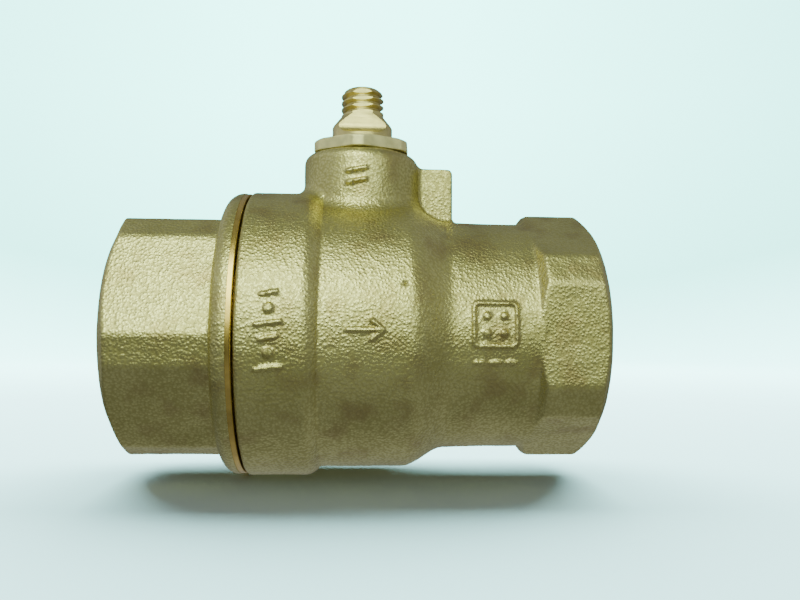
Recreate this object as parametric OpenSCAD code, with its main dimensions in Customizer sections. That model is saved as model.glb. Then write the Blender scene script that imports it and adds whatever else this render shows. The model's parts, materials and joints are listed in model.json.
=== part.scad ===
// Two-piece brass shutoff ball valve, 1 inch, female taper threads on both ends, handle off.
// X runs along the flow, with the screwed end cap on -X and the body socket on +X.
// Z runs up the stem. The origin is the centre of the ball, where the two axes cross.

/* [Ends and hexagons] */
// Distance from the stem axis to the face of the end cap
cap_end = 41.7; // [40:0.1:46]
// Distance from the stem axis to the face of the body socket
body_end = 41.4; // [40:0.1:46]
// Width across the flats of both wrench hexagons
hex_af = 41; // [40:0.5:44]
// Width across the blunted corners of both wrench hexagons
hex_corner = 44.2; // [43:0.2:46]
// Length of the wrench hexagon on the body
body_hex_length = 12.4; // [10:0.2:13]
// Depth of the turned chamfer on the mouth of each hexagon, towards the axis
hex_chamfer = 3; // [1:0.2:3.2]
// Length of that chamfer along the flow
hex_chamfer_length = 1.7; // [1:0.1:3]
// Angle at which the end cap came to rest when it was screwed home
cap_clocking = 7.5; // [-30:0.5:30]
// Bore of the taper-threaded sockets, at the crests of the thread
socket_bore = 29.4; // [29:0.1:30]
// Depth of the taper-threaded sockets
socket_depth = 17; // [15:0.5:17.5]

/* [Body] */
// Diameter of the flange at the body joint
flange_d = 51.2; // [50:0.2:54]
// Diameter of the ball chamber outside
chamber_d = 48.2; // [47:0.2:50]
// Diameter of the round barrel next to the body hexagon
barrel_d = 41.2; // [41:0.1:42]
// Diameter of the stem neck
neck_d = 21.1; // [20.5:0.1:23]
// Height of the top of the stem neck
neck_top = 32.9; // [32:0.1:34]
// Distance from the stem axis to the outer edge of the handle stop
stop_reach = 16.9; // [15:0.1:18]
// Height of the top of the handle stop
stop_top = 30.8; // [29:0.1:32]
// Thickness of the handle stop
stop_thickness = 4; // [3:0.5:6]

/* [Ball and seats] */
// Diameter of the ball
ball_d = 38; // [37.6:0.1:38.4]
// Diameter of the clear waterway through the valve
port_d = 25; // [23:0.5:25]
// Distance from the ball centre to the back of each seat
seat_back = 16.8; // [16.4:0.1:17]
// Outer diameter of the seats
seat_d = 33.1; // [32.8:0.1:33.3]

/* [Stem and packing] */
// Diameter of the stem where it passes through the neck
stem_d = 11.2; // [10.8:0.1:11.4]
// Outer diameter of the handle-nut thread on the stem
stem_thread_d = 7.9; // [7.6:0.1:8]
// Height of the top of the stem
stem_top = 45.7; // [44:0.1:48]
// Width across the two flats that carry the handle
stem_flats = 7; // [6:0.1:7.4]
// Width across the flats of the packing nut
nut_af = 17; // [16:0.5:18]
// Height of the top of the packing nut
nut_top = 35.3; // [35:0.1:36.2]

/* [Hidden] */
$fn = 96;
eps = 0.01;
over = 1;

// Colours
forged_brass = [0.67, 0.62, 0.38];
turned_brass = [0.80, 0.72, 0.42];
plated = [0.82, 0.84, 0.86];
white_seal = [0.93, 0.93, 0.90];
black_rubber = [0.10, 0.10, 0.11];

// Clearances on radius, and the gap left where two faces bear on each other
screwed_gap = 0.05;
slip_gap = 0.05;
seat_gap = 0.04;
face_gap = 0.05;

// Body joint, from the seam inwards
seam_x = -19.7;
seam_half_gap = 0.15;
joint_bore_r = 21.2;
joint_bore_end = -9.6;
cap_barrel_end = -10.5;
seal_inner_r = 19.9;

// Room outside the corners of the hexagons where their end cones start, the depth of the
// inner cone under the barrel, and the length of the cap hexagon inside its flange
hex_clear = 0.6;
cone_dip = 0.2;
hex_lap = 2;

// Outline of the body along the flow
flange_edge = 0.7;
flange_step_start = -8.9;
flange_step_end = -7.2;
shoulder_start = 8;
shoulder_end = 15.4;
chamber_r = 19.8;
pocket_r = seat_d / 2 + slip_gap;
pocket_back = seat_back + face_gap;
socket_mouth_d = 34;
socket_mouth_depth = 1.3;

// End cap flange
cap_flange_d = flange_d - 0.4;
cap_flange_start = -23.6;
cap_flange_round = 2.6;
cap_ring_width = 0.9;
cap_ring_depth = 0.5;

// Neck, from the chamber upwards
collar_d = 14.4;
collar_h = 2;
collar_bottom = 19.6;
washer_h = 0.8;
collar_top = collar_bottom + collar_h;
recess_top = collar_top + washer_h + face_gap;
recess_r = 7.5;
recess_bottom = 14;
gland_r = 8;
gland_floor = 25.4;
packing_h = 1.9;
packing_top = gland_floor + 2 * packing_h + face_gap;
neck_edge = 1.9;
neck_root = 17;

// Stem details
ring_groove_r = 4.15;
ring_groove_h = 2;
ring_z = 23.9;
ring_section = 1.4;
tang_thickness = 5;
tang_bottom = 15.2;
slot_width = 5.2;
slot_floor = 14.9;
shank_top = 38.6;
thread_start = 40.5;
stem_chamfer = 1;
flats_bottom = 36.6;

// Packing nut
nut_corner = 18.6;
nut_underside = 33.15;
nut_edge = 0.5;
nut_clocking = -5;

// Points of an arc, from one angle to another about a centre
function arc(c, r, from, to, n = 8) =
    [for (i = [0:n]) c + r * [cos(from + (to - from) * i / n), sin(from + (to - from) * i / n)]];

// Solid turned about the X axis, from an outline of [x, radius] points
module turned_x(outline) {
    rotate([0, 90, 0])
        rotate_extrude()
            polygon([for (p = outline) [p[1], p[0]]]);
}

// Solid turned about the Z axis, from an outline of [radius, z] points
module turned_z(outline) {
    rotate_extrude()
        polygon(outline);
}

// Cylinder along X between two stations
module bore_x(x0, x1, r) {
    translate([x0, 0, 0])
        rotate([0, 90, 0])
            cylinder(h = x1 - x0, r = r);
}

// Cylinder along Z between two heights
module post(z0, z1, r) {
    translate([0, 0, z0])
        cylinder(h = z1 - z0, r = r);
}

// Six-sided prism along Z with blunted corners and its first corner on X
module blunt_hexagon(h, af, corner) {
    intersection() {
        cylinder(h = h, d = af / cos(30), $fn = 6);
        rotate([0, 0, 30])
            cylinder(h = h, d = corner / cos(30), $fn = 6);
    }
}

// Taper-threaded socket with its lead-in, cut from the face at x inwards along +X
module socket_cut(depth) {
    bore_x(-eps, depth, socket_bore / 2);
    translate([-eps, 0, 0])
        rotate([0, 90, 0])
            cylinder(h = socket_mouth_depth, d1 = socket_mouth_d, d2 = socket_bore);
}

// Ring between two radii along X
module ring_x(x0, x1, outer_r, inner_r) {
    difference() {
        bore_x(x0, x1, outer_r);
        bore_x(x0 - over, x1 + over, inner_r);
    }
}

// Ring between two radii along Z
module ring_z_between(z0, z1, outer_r, inner_r) {
    difference() {
        post(z0, z1, outer_r);
        post(z0 - over, z1 + over, inner_r);
    }
}

// Forging outside: flange, ball chamber, ogee shoulder and barrel
module body_outside() {
    flange_r = flange_d / 2;
    chamber_out_r = chamber_d / 2;
    barrel_r = barrel_d / 2;
    step = flange_r - chamber_out_r;
    hex_start = body_end - body_hex_length;
    ogee = [for (i = [0:10]) [
        shoulder_start + (shoulder_end - shoulder_start) * i / 10,
        (chamber_out_r + barrel_r) / 2 + (chamber_out_r - barrel_r) / 2 * cos(18 * i)]];
    turned_x(concat(
        [[seam_x + seam_half_gap, 0], [seam_x + seam_half_gap, flange_r - flange_edge]],
        [[seam_x + seam_half_gap + flange_edge, flange_r]],
        arc([flange_step_start, flange_r - step / 2], step / 2, 90, 0, 4),
        [[flange_step_end, chamber_out_r]],
        ogee,
        [[hex_start + eps, barrel_r], [hex_start + eps, 0]]));
}

// Outline of the turned chamfer on the mouth of a hexagon that ends at x = end
function mouth_chamfer(end) = [
    [end - hex_chamfer_length * (1 + hex_clear / hex_chamfer), hex_corner / 2 + hex_clear],
    [end, hex_corner / 2 - hex_chamfer],
    [end, 0]];

// Wrench hexagon of the body, with both ends turned down to cones
module body_hexagon() {
    hex_start = body_end - body_hex_length;
    corner_r = hex_corner / 2;
    inner_cone = corner_r - barrel_d / 2 + cone_dip;
    intersection() {
        translate([hex_start, 0, 0])
            rotate([0, 90, 0])
                blunt_hexagon(body_hex_length, hex_af, hex_corner);
        turned_x(concat(
            [[hex_start, 0]],
            [[hex_start, corner_r - inner_cone]],
            [[hex_start + inner_cone + hex_clear, corner_r + hex_clear]],
            mouth_chamfer(body_end)));
    }
}

// Wrench hexagon of the end cap, turned down at its mouth
module cap_hexagon() {
    root = cap_flange_start + hex_lap;
    intersection() {
        translate([-cap_end, 0, 0])
            rotate([cap_clocking, 0, 0])
                rotate([0, 90, 0])
                    rotate([0, 0, 30])
                        blunt_hexagon(cap_end + root, hex_af, hex_corner);
        mirror([1, 0, 0])
            turned_x(concat(
                [[-root - over, 0]],
                [[-root - over, hex_corner / 2 + hex_clear]],
                mouth_chamfer(cap_end)));
    }
}

// Stem neck with its eased top edge
module neck_outside() {
    r = neck_d / 2;
    turned_z(concat(
        [[0, neck_root], [r, neck_root]],
        arc([r - neck_edge, neck_top - neck_edge], neck_edge, 0, 90, 6),
        [[0, neck_top]]));
}

// Handle stop, a flat lug in the plane of the stem and the flow
module handle_stop() {
    edge = 1;
    root_x = 8;
    root_z = 18;
    translate([0, stop_thickness / 2, 0])
        rotate([90, 0, 0])
            linear_extrude(height = stop_thickness)
                polygon(concat(
                    [[root_x, root_z], [stop_reach, root_z]],
                    arc([stop_reach - edge, stop_top - edge], edge, 0, 90, 5),
                    [[root_x, stop_top]]));
}

module valve_body() color(forged_brass) {
    difference() {
        union() {
            body_outside();
            body_hexagon();
            neck_outside();
            handle_stop();
        }
        bore_x(seam_x - over, joint_bore_end, joint_bore_r);
        bore_x(joint_bore_end - eps, 0, chamber_r);
        sphere(r = chamber_r);
        bore_x(0, pocket_back, pocket_r);
        bore_x(0, body_end, port_d / 2);
        translate([body_end, 0, 0])
            mirror([1, 0, 0])
                socket_cut(socket_depth);
        post(recess_bottom, recess_top, recess_r);
        post(neck_root, neck_top, stem_d / 2 + slip_gap);
        post(gland_floor, neck_top + over, gland_r);
    }
}

// Screwed end cap: wrench hexagon, round flange and the barrel that enters the body
module end_cap() color(forged_brass) {
    flange_r = cap_flange_d / 2;
    face_x = seam_x - seam_half_gap;
    difference() {
        union() {
            cap_hexagon();
            turned_x(concat(
                [[cap_flange_start, 0]],
                arc([cap_flange_start + cap_flange_round, flange_r - cap_flange_round],
                    cap_flange_round, 180, 90, 6),
                [[face_x - cap_ring_width, flange_r], [face_x, flange_r - cap_ring_depth], [face_x, 0]]));
            bore_x(face_x - eps, cap_barrel_end, joint_bore_r - screwed_gap);
        }
        bore_x(-pocket_back, cap_barrel_end + over, pocket_r);
        bore_x(-cap_end - over, 0, port_d / 2);
        translate([-cap_end, 0, 0])
            socket_cut(socket_depth);
    }
}

// Flat gasket between the end cap barrel and the step inside the body
module body_seal() color(white_seal) {
    ring_x(cap_barrel_end + face_gap, joint_bore_end - face_gap, joint_bore_r - screwed_gap, seal_inner_r);
}

// Ball with its waterway along X and the slot for the stem tang across it
module ball() color(plated) {
    difference() {
        sphere(d = ball_d);
        bore_x(-ball_d, ball_d, port_d / 2);
        translate([-slot_width / 2, -ball_d / 2, slot_floor])
            cube([slot_width, ball_d, ball_d]);
    }
}

// Seat on the +X side of the ball, hollowed to the ball's curve
module seat() {
    lip = 11.3;
    difference() {
        ring_x(lip, seat_back, seat_d / 2, port_d / 2 + slip_gap);
        sphere(r = ball_d / 2 + seat_gap);
    }
}

module seat_inlet() color(white_seal) {
    mirror([1, 0, 0])
        seat();
}

module seat_outlet() color(white_seal) {
    seat();
}

// Stem: tang, blow-out-proof collar, ring groove, shank, cone, thread and the two handle flats
module stem() color(turned_brass) {
    shank_r = stem_d / 2;
    thread_r = stem_thread_d / 2;
    reach = 2 * stem_d;
    difference() {
        union() {
            turned_z([
                [0, collar_bottom],
                [collar_d / 2, collar_bottom],
                [collar_d / 2, collar_top],
                [shank_r, collar_top],
                [shank_r, ring_z - ring_groove_h / 2],
                [ring_groove_r, ring_z - ring_groove_h / 2],
                [ring_groove_r, ring_z + ring_groove_h / 2],
                [shank_r, ring_z + ring_groove_h / 2],
                [shank_r, shank_top],
                [thread_r, thread_start],
                [thread_r, stem_top - stem_chamfer],
                [thread_r - stem_chamfer, stem_top],
                [0, stem_top]]);
            intersection() {
                post(tang_bottom, collar_bottom + eps, collar_d / 2);
                translate([-tang_thickness / 2, -collar_d, tang_bottom])
                    cube([tang_thickness, 2 * collar_d, collar_top]);
            }
        }
        for (side = [0, 180])
            rotate([0, 0, side])
                translate([-reach / 2, stem_flats / 2, flats_bottom])
                    cube([reach, reach, reach]);
    }
}

// Plain washer between the stem collar and the roof of its recess
module thrust_washer() color(white_seal) {
    ring_z_between(collar_top + face_gap / 2, recess_top - face_gap / 2,
        collar_d / 2, stem_d / 2 + slip_gap);
}

// Rubber ring in the stem groove
module stem_o_ring() color(black_rubber) {
    translate([0, 0, ring_z])
        rotate_extrude()
            translate([stem_d / 2 + slip_gap / 2 - ring_section / 2, 0])
                circle(d = ring_section, $fn = 32);
}

// One packing ring, standing on height z
module packing_ring(z) {
    ring_z_between(z, z + packing_h, gland_r - slip_gap, stem_d / 2 + slip_gap);
}

module packing_lower() color(white_seal) {
    packing_ring(gland_floor + eps);
}

module packing_upper() color(white_seal) {
    packing_ring(gland_floor + packing_h + 2 * eps);
}

// Packing nut: hexagon above the neck and a threaded barrel inside it
module packing_nut() color(turned_brass) {
    corner_r = nut_corner / 2;
    rotate([0, 0, nut_clocking])
        difference() {
            union() {
                intersection() {
                    translate([0, 0, nut_underside])
                        rotate([0, 0, 30])
                            blunt_hexagon(nut_top - nut_underside, nut_af, nut_corner);
                    turned_z([
                        [0, nut_underside],
                        [corner_r + over, nut_underside],
                        [corner_r + over, nut_top - nut_edge - over],
                        [corner_r - nut_edge, nut_top],
                        [0, nut_top]]);
                }
                post(packing_top, nut_underside + eps, gland_r - screwed_gap);
            }
            post(packing_top - over, nut_top + over, stem_d / 2 + slip_gap);
        }
}

valve_body();
end_cap();
body_seal();
ball();
seat_inlet();
seat_outlet();
stem();
thrust_washer();
stem_o_ring();
packing_lower();
packing_upper();
packing_nut();
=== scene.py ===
"""Two-piece brass ball valve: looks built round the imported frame.

The forged body and end cap are surfaces of distance fields, with fillets and raised marks in the
geometry, and their bores and threads are then cut by solid cutters. The stem and the packing nut
are turned and cut the same way. Lengths are millimetres in the geometry, and metres in the
materials, the lights and the glow of the stage.
"""
import json
import math
import bpy
import numpy as np
import openvdb
from mathutils import Matrix, Vector


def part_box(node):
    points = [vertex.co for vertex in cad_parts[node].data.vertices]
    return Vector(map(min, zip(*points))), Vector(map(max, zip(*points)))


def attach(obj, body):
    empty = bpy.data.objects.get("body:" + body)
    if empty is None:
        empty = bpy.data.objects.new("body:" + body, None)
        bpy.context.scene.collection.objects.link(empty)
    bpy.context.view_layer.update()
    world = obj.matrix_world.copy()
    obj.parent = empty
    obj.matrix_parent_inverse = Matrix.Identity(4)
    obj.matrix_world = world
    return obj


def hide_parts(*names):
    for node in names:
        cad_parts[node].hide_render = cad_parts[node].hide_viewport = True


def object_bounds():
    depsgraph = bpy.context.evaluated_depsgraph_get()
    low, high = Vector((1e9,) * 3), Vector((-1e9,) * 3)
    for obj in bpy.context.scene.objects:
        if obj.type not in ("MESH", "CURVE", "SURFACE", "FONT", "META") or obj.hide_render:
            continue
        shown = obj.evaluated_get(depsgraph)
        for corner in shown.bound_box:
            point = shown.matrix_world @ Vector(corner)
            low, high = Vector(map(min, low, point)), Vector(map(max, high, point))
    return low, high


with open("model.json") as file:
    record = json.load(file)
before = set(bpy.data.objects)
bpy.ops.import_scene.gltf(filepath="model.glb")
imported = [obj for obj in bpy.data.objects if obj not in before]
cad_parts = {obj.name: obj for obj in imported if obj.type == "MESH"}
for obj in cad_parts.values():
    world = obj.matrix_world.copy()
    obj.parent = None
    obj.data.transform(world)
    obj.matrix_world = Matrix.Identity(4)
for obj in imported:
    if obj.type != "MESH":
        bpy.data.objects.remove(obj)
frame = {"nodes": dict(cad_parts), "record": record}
cad_low, cad_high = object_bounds()

MM = 0.001
SEED = 7

# Powers in watts and tints of the lights, the stage's glow, and the brightness of the surroundings
# by direction as (height, level) pairs, with height from -1 straight down to 1 straight up
KEY_POWER = 2.65
FILL_POWER = 1.7
KEY_TINT = (0.83, 1.0, 0.79)
WORLD_TINT = (0.90, 1.0, 1.10)
PAPER_POWER = 46.0
PAPER_TINT = (0.54, 1.0, 0.98)
WALL_GLOW = 7.6
WALL_TINT = (0.24, 1.0, 0.88)
FRONT_LEVELS = ((-1.0, 0.10), (-0.6, 0.36), (-0.3, 0.06), (0.0, 0.03),
                (0.25, 0.17), (0.5, 0.24), (0.8, 0.13), (1.0, 0.05))
BACK_LEVELS = ((-1.0, 0.42), (-0.5, 0.38), (-0.15, 0.08), (0.25, 0.09), (0.5, 0.21), (1.0, 0.32))
LEFT_LEVELS = ((-1.0, 0.04), (-0.4, 0.06), (0.0, 0.43), (0.4, 0.87), (1.0, 0.84))
RIGHT_LEVELS = ((-1.0, 0.36), (-0.4, 0.17), (0.0, 0.34), (0.4, 0.48), (1.0, 0.50))


def box_mm(node):
    """Lowest and highest corner of a CAD node, in millimetres."""
    low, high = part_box(node)
    return np.array(low) / MM, np.array(high) / MM


def mount_radius(name):
    """Radius that the record states for a mount, in millimetres."""
    return next(m["dims"]["r_mm"] for m in frame["record"]["mounts"] if m["name"] == name)


# ---------------------------------------------------------------- sizes from the frame
body_low, body_high = box_mm("valve_body")
cap_low, cap_high = box_mm("end_cap")
seat_high = box_mm("seat_outlet")[1]
stem_high = box_mm("stem")[1]
nut_low, nut_high = box_mm("packing_nut")
packing_low, packing_high = box_mm("packing_lower")

# Clearance on radius, or between two faces, wherever pieces meet
GAP = 0.05
SEAM_X = body_low[0]
BODY_END = body_high[0]
CAP_END = cap_low[0]
CAP_BARREL_END = cap_high[0]
NECK_TOP = body_high[2]
FLANGE_R = body_high[1]
CAP_FLANGE_R = (cap_high[1] - cap_low[1]) / 2
STEM_TOP = stem_high[2]
NUT_TOP = nut_high[2]
GLAND_R = packing_high[0] + GAP
GLAND_FLOOR = packing_low[2]
BORE_R = mount_radius("inlet_socket")
PORT_R = mount_radius("waterway")
THREAD_R = mount_radius("stem_thread")

# ---------------------------------------------------------------- other sizes
# Both wrench hexagons: radii at flats and corners, mouth chamfer, rounding and facing allowance
HEX_FLAT = 20.5
HEX_CORNER = 22.1
HEX_CHAMFER = 3.0
HEX_CHAMFER_LENGTH = 1.7
HEX_BLEND = 0.4
MOUTH_EDGE = 0.25
FACING = 0.3

# Body along the flow: flange step, chamber, shoulder and barrel, then the neck, lug and pit
STEP_START = -9.5
STEP_END = -6.8
SHOULDER = (7.6, 15.2)
TAPER = 0.25
TAPER_SPAN = (12, 23)
CHAMBER_R = 24.1
BARREL_R = 20.6
NECK_R = 10.55
STOP_REACH = 16.9
STOP_TOP = 30.8
STOP_HALF = 2.0
PIT_X, PIT_Z = 6.9, 7.9
PIT_DEPTH = 0.5
BODY_HEX_START = BODY_END - 12.25
INNER_CONE = 52

# End cap: flange, angle of its hexagon in degrees, golden ring at the seam
CAP_FLANGE_START = -23.6
CAP_FLANGE_ROUND = 2.6
CAP_CLOCKING = 7.5
RING_WIDTH = 1.15
SEAM_GAP = 0.3

# Taper-threaded sockets and the stem thread
SOCKET_DEPTH = 17.0
SOCKET_LEAD = 1.3
SOCKET_TURNS = 7.4
PIPE_PITCH = 25.4 / 11.5
PIPE_GROOVE_R = BORE_R + 1.75
STEM_PITCH = 1.25
STEM_ROOT_R = THREAD_R - 0.74

# Bores inside the body, then the stem, its handle flats and the packing nut
CHAMBER_BORE_R = 19.8
JOINT_BORE_R = 21.2
JOINT_BORE_END = -9.6
STEM_BORE_R = 5.65
STEM_FLAT = 3.5
SHANK_TOP = 38.6
FLATS_BOTTOM = 36.6
RECESS_R = 7.5
RECESS_BOTTOM = 15
RECESS_TOP = 22.45
COLLAR_BOTTOM = 19.6
COLLAR_TOP = 21.6
COLLAR_EDGE = 0.3
RING_GROOVE = (22.9, 24.9)
RING_GROOVE_R = 4.15
THREAD_START = 40.5
TANG_BOTTOM = 15.2
TANG_HALF = 2.5
NUT_UNDER = 33.15
NUT_FLAT = 8.5
NUT_CORNER = 9.3
NUT_TURN = -5
NUT_BLEND = 0.15

# ---------------------------------------------------------------- finish of the forging
# Grid step, (cell, height) of each layer of waves, share of faces kept, blasted grain, raised marks
FORGING_STEP = 0.25
FORGING_WAVES = ((5.0, 0.05), (1.6, 0.025))
FACES_KEPT = 0.32
GRAINS_PER_METRE = 2150
MARK_HEIGHT = 0.4
MARK_EDGE = 0.45
MARK_HALF = 0.33

# Radius well outside the whole valve, for cutters
CLEAR_R = 30


# ---------------------------------------------------------------- distance fields
class Field:
    """Regular grid in millimetres on which distances are worked out."""

    def __init__(self, low, high, step):
        self.low = np.array(low, float)
        self.step = step
        axes = [np.arange(a, b + step, step, dtype=np.float32) for a, b in zip(low, high)]
        self.x, self.y, self.z = np.meshgrid(*axes, indexing="ij", sparse=True)
        self.r = np.sqrt(self.y ** 2 + self.z ** 2)


def join_round(a, b, r):
    """Union of two distances with a fillet of radius r where they meet."""
    corner = np.sqrt(np.maximum(r - a, 0) ** 2 + np.maximum(r - b, 0) ** 2)
    return np.maximum(r, np.minimum(a, b)) - corner


def keep_round(a, b, r):
    """Common part of two distances with the edge between them rounded to radius r."""
    corner = np.sqrt(np.maximum(r + a, 0) ** 2 + np.maximum(r + b, 0) ** 2)
    return np.minimum(-r, np.maximum(a, b)) + corner


def soft_max(a, b, k):
    """Larger of two distances, blended over k."""
    h = np.maximum(k - np.abs(a - b), 0) / k
    return np.maximum(a, b) + h * h * k / 4


def fall(x, start, end):
    """1 before start, 0 after end, with a smooth fall between."""
    t = np.clip((x - start) / (end - start), 0, 1)
    return 1 - t * t * (3 - 2 * t)


def hexagon(f, turn):
    """Distance to the long hexagonal prism along X; turn is the angle of one flat from +Y."""
    d = None
    for i in range(12):
        angle = math.radians(turn + 30 * i)
        reach = HEX_FLAT if i % 2 == 0 else HEX_CORNER
        side = f.y * math.cos(angle) + f.z * math.sin(angle) - reach
        d = side if d is None else soft_max(d, side, HEX_BLEND)
    return d


def square(u, v, cu, cv, half):
    """Distance to a square in a plane, centred on cu, cv."""
    du = np.abs(u - cu) - half
    dv = np.abs(v - cv) - half
    outside = np.sqrt(np.maximum(du, 0) ** 2 + np.maximum(dv, 0) ** 2)
    return outside + np.minimum(np.maximum(du, dv), 0)


def dot(u, v, cu, cv, radius):
    """Distance to a disc in a plane."""
    return np.sqrt((u - cu) ** 2 + (v - cv) ** 2) - radius


def relief(f, shape):
    """Raised mark on the -Y side: how far the surface stands proud of the forging."""
    t = np.clip(0.5 - shape / MARK_EDGE, 0, 1)
    return MARK_HEIGHT * t * t * (3 - 2 * t) * (f.y < 0)


def stroke(u, v, start, end):
    """Distance to a straight stroke with round ends, between two points of a plane."""
    along_u, along_v = end[0] - start[0], end[1] - start[1]
    t = ((u - start[0]) * along_u + (v - start[1]) * along_v) / (along_u ** 2 + along_v ** 2)
    t = np.clip(t, 0, 1)
    return np.sqrt((u - start[0] - t * along_u) ** 2 + (v - start[1] - t * along_v) ** 2) - MARK_HALF


def body_marks(f):
    """Plain raised marks in the places where such a forging carries its own."""
    marks = []
    row_u = -14.2
    for i in range(6):
        v = -5.4 + 2.3 * i
        if i % 3 == 1:
            marks.append(dot(f.x, f.z, row_u, v, 0.75))
        else:
            half = 1.9 if i % 3 == 0 else 1.2
            marks.append(stroke(f.x, f.z, (row_u - half, v - 0.25), (row_u + half, v + 0.25)))
    arrow_v = 0.6
    marks.append(stroke(f.x, f.z, (-2.2, arrow_v), (3.2, arrow_v)))
    marks.append(stroke(f.x, f.z, (1.6, 2.1), (3.4, arrow_v)))
    marks.append(stroke(f.x, f.z, (1.6, -0.9), (3.4, arrow_v)))
    centre_u, centre_v = 21.6, 1.6
    marks.append(np.abs(square(f.x, f.z, centre_u, centre_v, 2.7) - 0.8) - MARK_HALF)
    for u in (-1.4, 1.4):
        for v in (-1.4, 1.4):
            marks.append(dot(f.x, f.z, centre_u + u, centre_v + v, 0.6))
    below_v = -4.6
    for u in (-2.6, 0, 2.6):
        marks.append(stroke(f.x, f.z, (centre_u + u - 0.6, below_v), (centre_u + u + 0.6, below_v)))
    for v in (26.6, 28.6):
        marks.append(stroke(f.x, f.z, (-2.6, v - 0.3), (0.6, v + 0.3)))
    shape = marks[0]
    for mark in marks[1:]:
        shape = np.minimum(shape, mark)
    return relief(f, shape)


def hexagon_end(f, turn, end, side):
    """Wrench hexagon with the turned chamfer on its mouth, which faces along side."""
    tilt = math.atan2(HEX_CHAMFER, HEX_CHAMFER_LENGTH)
    cone = (side * f.x - end) * math.sin(tilt) + (f.r - (HEX_CORNER - HEX_CHAMFER)) * math.cos(tilt)
    return keep_round(hexagon(f, turn), cone, MOUTH_EDGE)


def body_distance(f):
    """Forged outside of the body, with its end face left long for the facing cut."""
    step = np.clip((f.x - STEP_START) / (STEP_END - STEP_START), 0, 1) ** 2
    radius = (BARREL_R + (CHAMBER_R - BARREL_R - TAPER) * fall(f.x, *SHOULDER)
              + TAPER * fall(f.x, *TAPER_SPAN) + (FLANGE_R - CHAMBER_R) * (1 - step))
    slope = np.gradient(radius[:, 0, 0], f.step)[:, None, None]
    d = (f.r - radius) / np.sqrt(1 + slope ** 2)
    d = keep_round(d, SEAM_X - f.x, 0.75)
    d = keep_round(d, f.x - (BODY_HEX_START + 0.9), 0.4)
    tilt = math.radians(INNER_CONE)
    inner_cone = (BODY_HEX_START - f.x) * math.sin(tilt) + (f.r - BARREL_R) * math.cos(tilt)
    wrench = keep_round(hexagon_end(f, 0, BODY_END, 1), inner_cone, 0.2)
    wrench = np.maximum(wrench, f.x - BODY_END - FACING)
    wrench = np.maximum(wrench, BODY_HEX_START - f.x)
    d = join_round(d, wrench, 0.2)
    across = np.sqrt(f.x ** 2 + f.y ** 2)
    edge = 2.0 + 0.4 * np.clip(f.x / NECK_R, -1, 1)
    neck = keep_round(across - NECK_R, f.z - NECK_TOP, edge)
    neck = np.maximum(neck, 10 - f.z)
    d = join_round(d, neck, 1.9)
    stop = keep_round(f.x - STOP_REACH, f.z - STOP_TOP, 1.0)
    stop = np.maximum(stop, np.maximum(5 - f.x, 16 - f.z))
    stop = keep_round(stop, np.abs(f.y) - STOP_HALF, 0.45)
    d = join_round(d, stop, 0.9)
    parting = 0.1 * np.exp(-(f.y / 0.45) ** 2)
    pit = PIT_DEPTH * np.exp(-((f.x - PIT_X) ** 2 + (f.z - PIT_Z) ** 2) / 0.1) * (f.y < 0)
    return d - parting - body_marks(f) + pit


def cap_distance(f):
    """Forged outside of the end cap, with its end face left long for the facing cut."""
    d = hexagon_end(f, 30 + CAP_CLOCKING, -CAP_END, -1)
    d = np.maximum(d, CAP_END - FACING - f.x)
    d = np.maximum(d, f.x - CAP_FLANGE_START - 2)
    flange = keep_round(f.r - CAP_FLANGE_R, CAP_FLANGE_START - f.x, CAP_FLANGE_ROUND)
    flange = np.maximum(flange, f.x - SEAM_X + SEAM_GAP)
    return join_round(d, flange, 0.3)


# ---------------------------------------------------------------- meshes
def new_object(name, points, faces):
    """Mesh object from points in millimetres and a list or array of faces."""
    mesh = bpy.data.meshes.new(name)
    mesh.from_pydata((np.asarray(points, float) * MM).tolist(), [], [list(face) for face in faces])
    mesh.update()
    thing = bpy.data.objects.new(name, mesh)
    bpy.context.scene.collection.objects.link(thing)
    return thing


def skin(name, f, distance):
    """Closed mesh of the surface where the distance is zero."""
    grid = openvdb.FloatGrid(3 * f.step)
    grid.copyFromArray(np.clip(distance, -3 * f.step, 3 * f.step).astype(np.float32))
    points, quads = grid.convertToQuads()
    points = points * f.step + f.low
    mesh = bpy.data.meshes.new(name)
    mesh.vertices.add(len(points))
    mesh.vertices.foreach_set("co", (points * MM).astype(np.float32).ravel())
    mesh.loops.add(4 * len(quads))
    mesh.loops.foreach_set("vertex_index", quads[:, ::-1].astype(np.int32).ravel())
    mesh.polygons.add(len(quads))
    mesh.polygons.foreach_set("loop_start", np.arange(0, 4 * len(quads), 4, dtype=np.int32))
    mesh.update(calc_edges=True)
    thing = bpy.data.objects.new(name, mesh)
    bpy.context.scene.collection.objects.link(thing)
    return thing


def lattice_noise(points, cell, rng):
    """Smooth noise between -1 and 1 at points in millimetres, with features about one cell wide."""
    table = rng.uniform(-1, 1, (32, 32, 32))
    place = points / cell
    base = np.floor(place).astype(int)
    t = place - base
    t = t * t * (3 - 2 * t)
    total = np.zeros(len(points))
    for corner in np.ndindex(2, 2, 2):
        weight = np.prod(np.where(np.array(corner) == 1, t, 1 - t), axis=1)
        index = (base + corner) % 32
        total += weight * table[index[:, 0], index[:, 1], index[:, 2]]
    return total


def roughen(thing, layers):
    """Moves points along their normals by layers of noise, each a (cell, height) pair."""
    mesh = thing.data
    count = len(mesh.vertices)
    points = np.empty(count * 3)
    mesh.vertices.foreach_get("co", points)
    points = points.reshape(-1, 3)
    normals = np.empty(count * 3)
    mesh.vertex_normals.foreach_get("vector", normals)
    rng = np.random.default_rng(SEED)
    shift = sum(height * lattice_noise(points / MM, cell, rng) for cell, height in layers)
    points += normals.reshape(-1, 3) * shift[:, None] * MM
    mesh.vertices.foreach_set("co", points.ravel())
    mesh.update()


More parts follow.
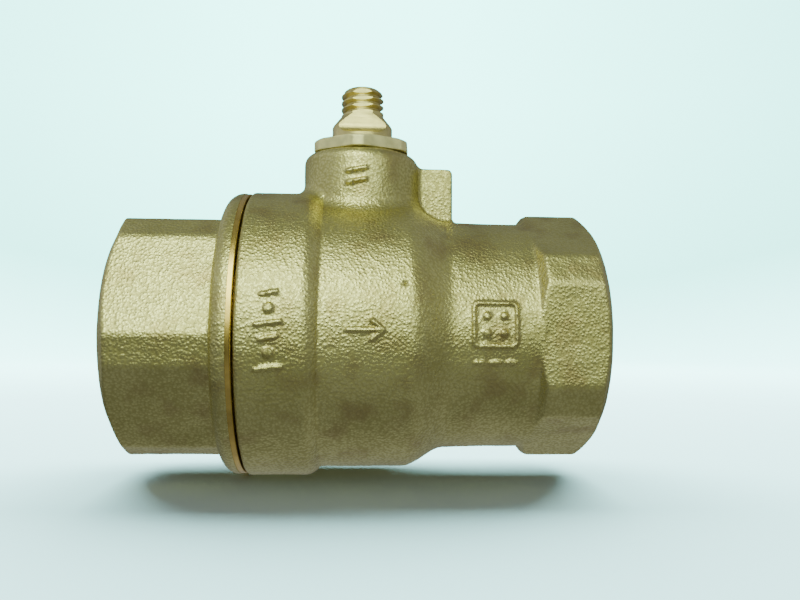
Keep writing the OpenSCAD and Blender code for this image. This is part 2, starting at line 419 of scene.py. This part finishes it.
def settle(thing):
    """Applies the modifiers to the mesh."""
    graph = bpy.context.evaluated_depsgraph_get()
    mesh = bpy.data.meshes.new_from_object(thing.evaluated_get(graph))
    thing.modifiers.clear()
    thing.data = mesh


def thin(thing, ratio):
    """Fewer faces, with the shape kept."""
    modifier = thing.modifiers.new("thin", "DECIMATE")
    modifier.ratio = ratio
    settle(thing)


def cut(thing, *cutters):
    """Takes each cutter away from the object and removes the cutter."""
    for cutter in cutters:
        modifier = thing.modifiers.new("cut", "BOOLEAN")
        modifier.solver = "MANIFOLD"
        modifier.operation = "DIFFERENCE"
        modifier.object = cutter
        settle(thing)
        bpy.data.objects.remove(cutter)


def merge(thing, *others):
    """Joins the meshes of others into the object."""
    for other in others:
        modifier = thing.modifiers.new("merge", "BOOLEAN")
        modifier.solver = "MANIFOLD"
        modifier.operation = "UNION"
        modifier.object = other
        settle(thing)
        bpy.data.objects.remove(other)


def turned(name, outline, axis="X", segments=160):
    """Solid turned about an axis from (along, radius) points; it starts and ends on the axis."""
    points, rings = [], []
    for along, radius in outline:
        if radius == 0:
            rings.append([len(points)])
            points.append((along, 0, 0))
            continue
        rings.append(list(range(len(points), len(points) + segments)))
        for i in range(segments):
            angle = 2 * math.pi * i / segments
            points.append((along, radius * math.cos(angle), radius * math.sin(angle)))
    faces = []
    for a, b in zip(rings, rings[1:]):
        for i in range(segments):
            j = (i + 1) % segments
            if len(a) == 1:
                faces.append((a[0], b[j], b[i]))
            elif len(b) == 1:
                faces.append((a[i], a[j], b[0]))
            else:
                faces.append((a[i], a[j], b[j], b[i]))
    points = np.array(points, float)
    if axis == "Z":
        points = points[:, [1, 2, 0]]
    thing = new_object(name, points, faces)
    face_out(thing)
    return thing


def face_out(thing):
    """Turns the faces outwards if the mesh is inside out."""
    mesh = thing.data
    mesh.calc_loop_triangles()
    corners = np.array([[mesh.vertices[v].co for v in t.vertices] for t in mesh.loop_triangles])
    volume = np.einsum("ij,ij->i", corners[:, 0], np.cross(corners[:, 1], corners[:, 2])).sum()
    if volume < 0:
        mesh.flip_normals()


def thread_ridge(name, start, turns, pitch, base, tip, base_width, tip_width, axis, taper=0.0, segments=72):
    """Helical ridge of trapezoid section along +axis from start, faded out at both ends."""
    steps = int(turns * segments)
    points = []
    for i in range(steps + 1):
        angle = 2 * math.pi * i / segments
        along = start + pitch * i / segments
        ends = min(i, steps - i) / segments
        height = min(1.0, ends / 0.5)
        top = base + (tip - base) * (0.05 + 0.95 * height) + taper * (along - start)
        low = base + min(0, taper * (along - start))
        half_base = base_width / 2 * (0.4 + 0.6 * height)
        half_tip = tip_width / 2 * (0.4 + 0.6 * height)
        for radius, shift in ((low, -half_base), (top, -half_tip), (top, half_tip), (low, half_base)):
            points.append((along + shift, radius * math.cos(angle), radius * math.sin(angle)))
    faces = [(0, 1, 2, 3), tuple(4 * steps + k for k in (3, 2, 1, 0))]
    for i in range(steps):
        for k in range(4):
            n = (k + 1) % 4
            faces.append((4 * i + k, 4 * (i + 1) + k, 4 * (i + 1) + n, 4 * i + n))
    points = np.array(points, float)
    if axis == "Z":
        points = points[:, [1, 2, 0]]
    thing = new_object(name, points, faces)
    face_out(thing)
    return thing


def mirrored(thing):
    """Turns a cutter end for end, by half a turn about Z."""
    thing.data.transform(Matrix.Rotation(math.pi, 4, "Z"))
    return thing


def shade(thing, angle=32):
    """Smooth shading with sharp edges where faces meet at more than an angle."""
    thing.data.shade_smooth()
    thing.data.set_sharp_from_angle(angle=math.radians(angle))


def arc(cx, cy, r, start, end, count=10):
    """Points of an arc, in degrees."""
    angles = [math.radians(start + (end - start) * i / count) for i in range(count + 1)]
    return [(cx + r * math.cos(a), cy + r * math.sin(a)) for a in angles]


# ---------------------------------------------------------------- materials
def material(name):
    """New node material with its shader, nodes and links."""
    made = bpy.data.materials.new(name)
    made.use_nodes = True
    tree = made.node_tree
    shader = tree.nodes["Principled BSDF"]
    return made, tree, shader


def node(tree, kind, **values):
    """New shader node with inputs or settings given by name."""
    made = tree.nodes.new(kind)
    for key, value in values.items():
        if key in made.inputs:
            made.inputs[key].default_value = value
        else:
            setattr(made, key, value)
    return made


def link(tree, source, target):
    """Joins an output socket to an input socket."""
    tree.links.new(source, target)


def noise(tree, vector, per_metre, detail):
    """Smooth noise about 0.5, with its features spaced per metre."""
    made = node(tree, "ShaderNodeTexNoise", Scale=per_metre, Detail=detail)
    link(tree, vector, made.inputs["Vector"])
    return made.outputs["Fac"]


def remap(tree, value, low, high, to_low=0.0, to_high=1.0):
    """Value moved from the range low to high into the range to_low to to_high, and kept inside it."""
    made = tree.nodes.new("ShaderNodeMapRange")
    made.inputs["From Min"].default_value = low
    made.inputs["From Max"].default_value = high
    made.inputs["To Min"].default_value = to_low
    made.inputs["To Max"].default_value = to_high
    link(tree, value, made.inputs["Value"])
    return made.outputs["Result"]


def blend_colour(tree, factor, first, second):
    """Colour between first and second, each a colour or a socket."""
    made = tree.nodes.new("ShaderNodeMix")
    made.data_type = "RGBA"
    link(tree, factor, made.inputs["Factor"])
    for name, value in (("A_Color", first), ("B_Color", second)):
        socket = next(s for s in made.inputs if s.identifier == name)
        if isinstance(value, tuple):
            socket.default_value = (*value, 1)
        else:
            link(tree, value, socket)
    return next(s for s in made.outputs if s.identifier == "Result_Color")


def place(tree):
    """Position on the object, in metres."""
    return tree.nodes.new("ShaderNodeTexCoord").outputs["Object"]


def bump(tree, height, distance_mm, strength=1.0, before=None):
    """Normal tilted by a height, on top of an earlier normal if there is one."""
    made = node(tree, "ShaderNodeBump", Distance=distance_mm * MM, Strength=strength)
    link(tree, height, made.inputs["Height"])
    if before is not None:
        link(tree, before, made.inputs["Normal"])
    return made.outputs["Normal"]


def pebbles(tree, spot, per_metre):
    """Close-set rounded grains of uneven shape: 1 on a crest, 0 in a crease."""
    drift = node(tree, "ShaderNodeTexNoise", Scale=0.8 * per_metre)
    link(tree, spot, drift.inputs["Vector"])
    moved = node(tree, "ShaderNodeVectorMath", operation="MULTIPLY_ADD")
    link(tree, drift.outputs["Color"], moved.inputs[0])
    moved.inputs[1].default_value = (0.4 / per_metre,) * 3
    link(tree, spot, moved.inputs[2])
    cells = node(tree, "ShaderNodeTexVoronoi", feature="SMOOTH_F1", Scale=per_metre, Smoothness=0.5)
    link(tree, moved.outputs["Vector"], cells.inputs["Vector"])
    return remap(tree, cells.outputs["Distance"], 0.0, 0.75, 1, 0)


def grain_height(tree, spot, grain):
    """Grain height, lower on the neck and on the body's hexagon than on the rest of the forging."""
    split = node(tree, "ShaderNodeSeparateXYZ")
    link(tree, spot, split.inputs["Vector"])
    height = grain
    for share in (remap(tree, split.outputs["Z"], 0.023, 0.028, 1.0, 0.5),
                  remap(tree, split.outputs["X"], 0.018, 0.030, 1.0, 0.7)):
        lower = node(tree, "ShaderNodeMath", operation="MULTIPLY")
        link(tree, height, lower.inputs[0])
        link(tree, share, lower.inputs[1])
        height = lower.outputs["Value"]
    return height


def forged_brass():
    """Sand-blasted brass forging with a light uneven tarnish and brown stains, and painted shade in the
    creases between its grains.
    """
    made, tree, shader = material("forged_brass")
    spot = place(tree)
    tarnish = remap(tree, noise(tree, spot, 90, 4), 0.38, 0.66, 0, 0.6)
    grain = pebbles(tree, spot, GRAINS_PER_METRE)
    # Colour lighter on each grain's crest and darker in the creases between grains: painted shade in the
    # creases
    crest = remap(tree, grain, 0.15, 0.6)
    clean_shaded_in_creases = blend_colour(tree, crest, (0.56, 0.50, 0.185), (0.71, 0.65, 0.255))
    dull_shaded_in_creases = blend_colour(tree, crest, (0.42, 0.375, 0.12), (0.55, 0.50, 0.17))
    stain = remap(tree, noise(tree, spot, 170, 5), 0.52, 0.70, 0, 0.7)
    tarnished_and_crease_shaded = blend_colour(tree, tarnish, clean_shaded_in_creases, dull_shaded_in_creases)
    link(tree, blend_colour(tree, stain, tarnished_and_crease_shaded, (0.42, 0.32, 0.125)), shader.inputs["Base Color"])
    shader.inputs["Metallic"].default_value = 1.0
    link(tree, remap(tree, crest, 0, 1, 0.47, 0.35), shader.inputs["Roughness"])
    low = bump(tree, noise(tree, spot, 700, 1.5), 0.06)
    link(tree, bump(tree, grain_height(tree, spot, grain), 0.072, 1.0, low), shader.inputs["Normal"])
    return made


def turned_brass(name, axis, base=(0.78, 0.66, 0.25), rough=0.36):
    """Machined brass with fine tool marks round an axis."""
    made, tree, shader = material(name)
    spot = place(tree)
    split = tree.nodes.new("ShaderNodeSeparateXYZ")
    link(tree, spot, split.inputs["Vector"])
    lines = node(tree, "ShaderNodeTexNoise", Scale=5200, Detail=2, noise_dimensions="1D")
    link(tree, split.outputs[axis], lines.inputs["W"])
    stain = remap(tree, noise(tree, spot, 420, 4), 0.4, 0.72)
    darker = tuple(0.72 * c for c in base)
    colour = blend_colour(tree, stain, base, darker)
    link(tree, colour, shader.inputs["Base Color"])
    shader.inputs["Metallic"].default_value = 1.0
    link(tree, remap(tree, lines.outputs["Fac"], 0.3, 0.7, rough - 0.06, rough + 0.08),
         shader.inputs["Roughness"])
    link(tree, bump(tree, lines.outputs["Fac"], 0.012, 0.8), shader.inputs["Normal"])
    return made


def plated():
    """Polished plating with faint wear from the seats."""
    made, tree, shader = material("plated_ball")
    spot = place(tree)
    rubbed = remap(tree, noise(tree, spot, 700, 5), 0.35, 0.75)
    colour = blend_colour(tree, rubbed, (0.80, 0.82, 0.84), (0.70, 0.71, 0.72))
    link(tree, colour, shader.inputs["Base Color"])
    shader.inputs["Metallic"].default_value = 1.0
    link(tree, remap(tree, rubbed, 0, 1, 0.08, 0.2), shader.inputs["Roughness"])
    link(tree, bump(tree, noise(tree, spot, 2600, 2), 0.003, 0.6), shader.inputs["Normal"])
    return made


def white_plastic():
    """Smooth white fluoroplastic with a faint mottle."""
    made, tree, shader = material("seat_plastic")
    spot = place(tree)
    mottle = noise(tree, spot, 600, 3)
    colour = blend_colour(tree, mottle, (0.86, 0.86, 0.83), (0.93, 0.93, 0.91))
    link(tree, colour, shader.inputs["Base Color"])
    link(tree, remap(tree, mottle, 0.3, 0.7, 0.38, 0.5), shader.inputs["Roughness"])
    link(tree, bump(tree, noise(tree, spot, 2000, 2), 0.01, 0.5), shader.inputs["Normal"])
    return made


def black_rubber():
    """Black moulded rubber with a dusty bloom."""
    made, tree, shader = material("ring_rubber")
    spot = place(tree)
    bloom = remap(tree, noise(tree, spot, 500, 4), 0.4, 0.8)
    colour = blend_colour(tree, bloom, (0.02, 0.02, 0.022), (0.06, 0.06, 0.06))
    link(tree, colour, shader.inputs["Base Color"])
    link(tree, remap(tree, bloom, 0, 1, 0.45, 0.65), shader.inputs["Roughness"])
    link(tree, bump(tree, noise(tree, spot, 2500, 2), 0.01, 0.5), shader.inputs["Normal"])
    return made


FORGED = forged_brass()
TURNED_X = turned_brass("turned_brass_x", "X")
TURNED_Z = turned_brass("turned_brass_z", "Z")
# The nut's brass has a much lighter base than the other turned brass: painted light on the nut
NUT_BRASS_PAINTED_LIGHT = turned_brass("nut_brass_painted_light", "Z", base=(0.95, 0.87, 0.44), rough=0.58)
GOLD_RING = turned_brass("turned_brass_ring", "X", base=(0.82, 0.57, 0.14), rough=0.30)


def wear(thing, *materials):
    """Gives the object its material slots, in order."""
    thing.data.materials.clear()
    for one in materials:
        thing.data.materials.append(one)


# ---------------------------------------------------------------- pieces
def socket_cutters(face, prefix):
    """Cutters for a taper-threaded socket that opens at x = face on the +X side."""
    mouth_r = PIPE_GROOVE_R + 0.35
    back = face - SOCKET_DEPTH
    lead = face - SOCKET_LEAD
    core = turned(prefix + "_core", [
        (back, 0), (back, BORE_R), (lead, BORE_R), (lead + (mouth_r - BORE_R) * 0.6, mouth_r),
        (face, mouth_r), (face, CLEAR_R), (face + 3, CLEAR_R), (face + 3, 0)])
    start = face + 1.2 - SOCKET_TURNS * PIPE_PITCH
    groove = thread_ridge(prefix + "_groove", start, SOCKET_TURNS, PIPE_PITCH, BORE_R - 0.2,
                          PIPE_GROOVE_R - 0.45, 2.12, 0.12, "X", taper=1 / 32)
    wear(core, TURNED_X)
    wear(groove, TURNED_X)
    return core, groove


def make_body():
    """Forged body, machined inside."""
    low = (SEAM_X - 1, -FLANGE_R - 1, -FLANGE_R - 1)
    f = Field(low, (BODY_END + 1, FLANGE_R + 1, NECK_TOP + 1), FORGING_STEP)
    body = skin("body_forging", f, body_distance(f))
    roughen(body, FORGING_WAVES)
    thin(body, FACES_KEPT)
    wear(body, FORGED)
    pocket_r = seat_high[1] + GAP
    pocket_x = math.sqrt(CHAMBER_BORE_R ** 2 - pocket_r ** 2)
    meet = math.degrees(math.atan2(pocket_r, pocket_x))
    inside = turned("inside", [
        (SEAM_X - 2, 0), (SEAM_X - 2, JOINT_BORE_R), (JOINT_BORE_END, JOINT_BORE_R),
        (JOINT_BORE_END, CHAMBER_BORE_R), *arc(0, 0, CHAMBER_BORE_R, 90, meet, 16),
        (seat_high[0] + GAP, pocket_r), (seat_high[0] + GAP, PORT_R),
        (BODY_END - SOCKET_DEPTH + 0.5, PORT_R), (BODY_END - SOCKET_DEPTH + 0.5, 0)])
    neck = turned("neck_inside", [
        (RECESS_BOTTOM, 0), (RECESS_BOTTOM, RECESS_R), (RECESS_TOP, RECESS_R), (RECESS_TOP, STEM_BORE_R),
        (GLAND_FLOOR, STEM_BORE_R), (GLAND_FLOOR, GLAND_R), (NECK_TOP - 0.6, GLAND_R),
        (NECK_TOP + 0.2, GLAND_R + 0.8), (NECK_TOP + 2, GLAND_R + 0.8), (NECK_TOP + 2, 0)], "Z")
    wear(inside, TURNED_X)
    wear(neck, TURNED_Z)
    cut(body, inside, neck, *socket_cutters(BODY_END, "outlet"))
    shade(body)
    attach(body, "housing")
    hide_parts("valve_body")
    return body


def make_cap():
    """Forged end cap with its turned ring, barrel and threaded socket."""
    low = (CAP_END - 1, -FLANGE_R - 1, -FLANGE_R - 1)
    f = Field(low, (SEAM_X + 1, FLANGE_R + 1, FLANGE_R + 1), FORGING_STEP)
    cap = skin("cap_forging", f, cap_distance(f))
    roughen(cap, FORGING_WAVES)
    thin(cap, FACES_KEPT)
    wear(cap, FORGED)
    barrel_r = JOINT_BORE_R - GAP
    root_x, root_r = CAP_FLANGE_START + 2, CAP_FLANGE_R - 1
    ring_r = CAP_FLANGE_R - 0.1
    ring_start = SEAM_X - RING_WIDTH
    face = SEAM_X - SEAM_GAP
    collar = turned("collar", [
        (root_x, 0), (root_x, root_r), (ring_start, root_r), (ring_start, ring_r),
        (SEAM_X - 0.42, ring_r), (face, ring_r - 0.12), (face, barrel_r),
        (CAP_BARREL_END - 0.4, barrel_r), (CAP_BARREL_END, barrel_r - 0.4), (CAP_BARREL_END, 0)])
    trim = turned("trim", [(ring_start, 0), (ring_start, CLEAR_R), (SEAM_X + 3, CLEAR_R), (SEAM_X + 3, 0)])
    wear(collar, GOLD_RING)
    wear(trim, GOLD_RING)
    cut(cap, trim)
    merge(cap, collar)
    pocket_r = seat_high[1] + GAP
    inside = turned("inside", [
        (CAP_BARREL_END + 1, 0), (CAP_BARREL_END + 1, pocket_r), (-seat_high[0] - GAP, pocket_r),
        (-seat_high[0] - GAP, PORT_R), (CAP_END + SOCKET_DEPTH - 0.5, PORT_R),
        (CAP_END + SOCKET_DEPTH - 0.5, 0)])
    wear(inside, TURNED_X)
    cut(cap, inside, *(mirrored(c) for c in socket_cutters(-CAP_END, "inlet")))
    shade(cap)
    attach(cap, "housing")
    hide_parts("end_cap")
    return cap


def make_stem():
    """Turned stem with its tang, groove, handle flats and M8 thread."""
    r = STEM_BORE_R - GAP
    collar_r = stem_high[0]
    collar_edge_r = collar_r - COLLAR_EDGE
    groove_bottom, groove_top = RING_GROOVE
    stem = turned("stem_turned", [
        (COLLAR_BOTTOM, 0), (COLLAR_BOTTOM, collar_edge_r), (COLLAR_BOTTOM + COLLAR_EDGE, collar_r),
        (COLLAR_TOP - COLLAR_EDGE, collar_r), (COLLAR_TOP, collar_edge_r), (COLLAR_TOP, r),
        (groove_bottom, r), (groove_bottom, RING_GROOVE_R), (groove_top, RING_GROOVE_R), (groove_top, r),
        (SHANK_TOP - 0.3, r), (SHANK_TOP + 0.1, r - 0.2), (THREAD_START, THREAD_R),
        (STEM_TOP - 1.2, THREAD_R), (STEM_TOP - 0.6, THREAD_R - 0.35), (STEM_TOP - 0.15, THREAD_R - 0.9),
        (STEM_TOP, THREAD_R - 1.2), (STEM_TOP, 0)], "Z", 128)
    groove = thread_ridge("stem_groove", THREAD_START + 0.1, 4.4, STEM_PITCH, THREAD_R + 0.35, STEM_ROOT_R,
                          1.5, 0.16, "Z")
    wear(groove, TURNED_Z)
    wear(stem, TURNED_Z)
    cutters = [groove]
    sweep = 2.0
    for side in (1, -1):
        outline = [(STEM_FLAT, STEM_TOP + 1), (STEM_FLAT, FLATS_BOTTOM + sweep),
                   *arc(STEM_FLAT + sweep, FLATS_BOTTOM + sweep, sweep, 180, 270, 8),
                   (12, FLATS_BOTTOM), (12, STEM_TOP + 1)]
        half = 8
        count = len(outline)
        points = [(-half, side * y, z) for y, z in outline] + [(half, side * y, z) for y, z in outline]
        faces = [tuple(range(count)), tuple(range(2 * count - 1, count - 1, -1))]
        for i in range(count):
            j = (i + 1) % count
            faces.append((i, count + i, count + j, j))
        flat = new_object("flat", points, faces)
        face_out(flat)
        wear(flat, TURNED_Z)
        cutters.append(flat)
    cut(stem, *cutters)
    tang_top = COLLAR_BOTTOM + 0.1
    tang = turned("tang", [
        (TANG_BOTTOM, 0), (TANG_BOTTOM, collar_r - 0.4), (TANG_BOTTOM + 0.4, collar_r),
        (tang_top, collar_r), (tang_top, 0)], "Z", 96)
    wear(tang, TURNED_Z)
    for side in (1, -1):
        near, far = side * TANG_HALF, side * 20
        corners = [(x, y, z) for x in (near, far) for y in (-20, 20) for z in (10, 30)]
        faces = [(0, 1, 3, 2), (4, 6, 7, 5), (0, 4, 5, 1), (2, 3, 7, 6), (0, 2, 6, 4), (1, 5, 7, 3)]
        block = new_object("block", corners, faces)
        face_out(block)
        wear(block, TURNED_Z)
        cut(tang, block)
    merge(stem, tang)
    shade(stem, 28)
    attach(stem, "stem")
    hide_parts("stem")
    return stem


def make_nut():
    """Packing nut: blunt hexagon with a turned top edge, over its barrel."""
    half = 10.5
    f = Field((-half, -half, NUT_UNDER - 1), (half, half, NUT_TOP + 1), 0.1)
    d = None
    for i in range(12):
        angle = math.radians(NUT_TURN + 30 * i)
        side = f.x * math.cos(angle) + f.y * math.sin(angle) - (NUT_FLAT if i % 2 == 0 else NUT_CORNER)
        d = side if d is None else soft_max(d, side, NUT_BLEND)
    rim = np.sqrt(f.x ** 2 + f.y ** 2)
    d = keep_round(d, f.z - NUT_TOP, NUT_BLEND)
    d = keep_round(d, NUT_UNDER - f.z, NUT_BLEND)
    d = keep_round(d, (rim - NUT_CORNER + 0.35 + (f.z - NUT_TOP)) * math.sqrt(0.5), NUT_BLEND)
    nut = skin("gland_nut", f, d)
    thin(nut, 0.3)
    wear(nut, NUT_BRASS_PAINTED_LIGHT)
    low = nut_low[2]
    barrel = turned("barrel", [
        (low, 0), (low, GLAND_R - 0.6), (low + 0.5, GLAND_R - GAP), (NUT_UNDER - 0.5, GLAND_R - GAP),
        (NUT_UNDER + 0.3, GLAND_R - 0.4), (NUT_UNDER + 0.3, 0)], "Z", 96)
    mouth_r = STEM_BORE_R + 0.4
    hole = turned("hole", [
        (low - 1, 0), (low - 1, STEM_BORE_R), (NUT_TOP - 0.4, STEM_BORE_R),
        (NUT_TOP + 0.1, mouth_r), (NUT_TOP + 2, mouth_r), (NUT_TOP + 2, 0)], "Z", 96)
    wear(barrel, NUT_BRASS_PAINTED_LIGHT)
    wear(hole, NUT_BRASS_PAINTED_LIGHT)
    merge(nut, barrel)
    cut(nut, hole)
    shade(nut, 28)
    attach(nut, "housing")
    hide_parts("packing_nut")
    return nut


def dress_cad_nodes():
    """Materials for the CAD nodes that are shown as they are."""
    white = white_plastic()
    looks = {"ball": plated(), "stem_o_ring": black_rubber()}
    for name in ("body_seal", "seat_inlet", "seat_outlet", "thrust_washer", "packing_lower", "packing_upper"):
        looks[name] = white
    for name, look in looks.items():
        thing = frame["nodes"][name]
        for slot in thing.material_slots:
            slot.material = look


# ---------------------------------------------------------------- stage
def make_stage():
    """Round pale floor that sweeps up into a wall on every side, far from the valve."""
    metre = 1 / MM
    flat_r, sweep = 0.6 * metre, 0.5 * metre
    outline = [(0, 0), (0.02 * metre, 0), (0.2 * metre, 0), (flat_r, 0)]
    for angle in np.linspace(0, math.pi / 2, 16)[1:]:
        outline.append((flat_r + sweep * math.sin(angle), sweep * (1 - math.cos(angle))))
    outline.append((flat_r + sweep, 1.5 * metre))
    floor = turned("floor", [(z + cad_low[2] / MM, r) for r, z in outline], "Z", 96)
    floor.data.flip_normals()
    floor.data.shade_smooth()
    made, tree, shader = material("floor_paper")
    spot = place(tree)
    reach = node(tree, "ShaderNodeVectorMath", operation="LENGTH")
    link(tree, spot, reach.inputs[0])
    tint = remap(tree, noise(tree, spot, 6, 2), 0.3, 0.7)
    paper = blend_colour(tree, tint, (0.60, 0.69, 0.69), (0.62, 0.715, 0.715))
    link(tree, paper, shader.inputs["Base Color"])
    shader.inputs["Roughness"].default_value = 0.9
    shader.inputs["Specular IOR Level"].default_value = 0.2
    shader.inputs["Emission Color"].default_value = (*WALL_TINT, 1)
    split = node(tree, "ShaderNodeSeparateXYZ")
    link(tree, spot, split.inputs["Vector"])
    aside = node(tree, "ShaderNodeMath", operation="ABSOLUTE")
    link(tree, split.outputs["X"], aside.inputs[0])
    glow = node(tree, "ShaderNodeMath", operation="MULTIPLY")
    link(tree, remap(tree, reach.outputs["Value"], 0.20, 1.15, 0.0, WALL_GLOW), glow.inputs[0])
    link(tree, remap(tree, aside.outputs["Value"], 0.15, 0.75, 1.0, 0.62), glow.inputs[1])
    link(tree, glow.outputs["Value"], shader.inputs["Emission Strength"])
    wear(floor, made)
    floor.visible_glossy = False
    floor.visible_diffuse = False
    floor.visible_shadow = False
    return floor


def area_light(name, azimuth, height, distance, size, power, tint):
    """Rectangular light facing the origin; azimuth and height are degrees from the -Y direction."""
    light = bpy.data.lights.new(name, "AREA")
    light.shape = "RECTANGLE"
    light.size, light.size_y = size
    light.energy = power
    light.color = tint
    thing = bpy.data.objects.new(name, light)
    across, up = math.radians(azimuth), math.radians(height)
    toward = Vector((math.sin(across) * math.cos(up), -math.cos(across) * math.cos(up), math.sin(up)))
    thing.location = toward * distance
    thing.rotation_euler = toward.to_track_quat("Z", "Y").to_euler()
    thing.visible_camera = False
    bpy.context.scene.collection.objects.link(thing)
    return thing


def levels(tree, height, stops):
    """Tinted grey levels by height, from (height, level) pairs with heights from -1 to 1."""
    ramp = tree.nodes.new("ShaderNodeValToRGB")
    elements = ramp.color_ramp.elements
    for i, (at, level) in enumerate(stops):
        stop = elements[i] if i < 2 else elements.new(at)
        stop.position = (at + 1) / 2
        stop.color = (*(level * c for c in WORLD_TINT), 1)
    link(tree, height, ramp.inputs["Fac"])
    return ramp.outputs["Color"]


def make_world():
    """Soft surroundings with their own brightness in front, behind and on each side."""
    world = bpy.data.worlds.new("soft")
    world.use_nodes = True
    tree = world.node_tree
    spot = tree.nodes.new("ShaderNodeTexCoord").outputs["Generated"]
    split = tree.nodes.new("ShaderNodeSeparateXYZ")
    link(tree, spot, split.inputs["Vector"])
    height = remap(tree, split.outputs["Z"], -1, 1)
    front = levels(tree, height, FRONT_LEVELS)
    back = levels(tree, height, BACK_LEVELS)
    left = levels(tree, height, LEFT_LEVELS)
    right = levels(tree, height, RIGHT_LEVELS)
    ends = blend_colour(tree, remap(tree, split.outputs["Y"], -0.35, 0.35), front, back)
    sides = blend_colour(tree, remap(tree, split.outputs["X"], -0.02, 0.02), left, right)
    side = node(tree, "ShaderNodeMath", operation="ABSOLUTE")
    link(tree, split.outputs["X"], side.inputs[0])
    aside = remap(tree, side.outputs["Value"], 0.3, 1.0)
    background = tree.nodes["Background"]
    link(tree, blend_colour(tree, aside, ends, sides), background.inputs["Color"])
    background.inputs["Strength"].default_value = 1.0
    bpy.context.scene.world = world


def make_lights(floor):
    """Key and low fill from the front for the valve, and a light from above and behind for the paper."""
    key = area_light("key", -13, 42, 0.63, (0.32, 0.36), KEY_POWER, KEY_TINT)
    fill = area_light("fill", 0, 18, 0.63, (0.90, 0.18), FILL_POWER, KEY_TINT)
    no_floor = bpy.data.collections.new("no_floor")
    no_floor.objects.link(floor)
    no_floor.collection_objects[0].light_linking.link_state = "EXCLUDE"
    key.light_linking.receiver_collection = no_floor
    fill.light_linking.receiver_collection = no_floor
    paper = area_light("paper", 177, 50, 0.60, (1.15, 0.56), PAPER_POWER, PAPER_TINT)
    only_floor = bpy.data.collections.new("only_floor")
    only_floor.objects.link(floor)
    paper.light_linking.receiver_collection = only_floor


def make_camera():
    """Camera in front of the valve, level with the flow and turned a little to look up at it."""
    distance = 140.4
    aside, above = 7.40, 6.21
    yaw, tip, roll = math.radians(3.43), math.radians(2.58), math.radians(-0.46)
    basis = Matrix.Rotation(-yaw, 3, "Z") @ Matrix.Rotation(tip, 3, "X") @ Matrix.Rotation(roll, 3, "Y")
    right, up, back = basis @ Vector((1, 0, 0)), basis @ Vector((0, 0, 1)), basis @ Vector((0, -1, 0))
    where = (right * aside + up * above + back * distance) * MM
    camera = bpy.data.objects.new("camera", bpy.data.cameras.new("camera"))
    camera.data.sensor_width = 36
    camera.data.lens = 33.92
    camera.data.clip_start = 0.01
    matrix = Matrix((right, up, back)).transposed().to_4x4()
    matrix.translation = where
    camera.matrix_world = matrix
    bpy.context.scene.collection.objects.link(camera)
    bpy.context.scene.camera = camera


make_camera()
make_world()
make_lights(make_stage())
dress_cad_nodes()
make_body()
make_cap()
make_stem()
make_nut()
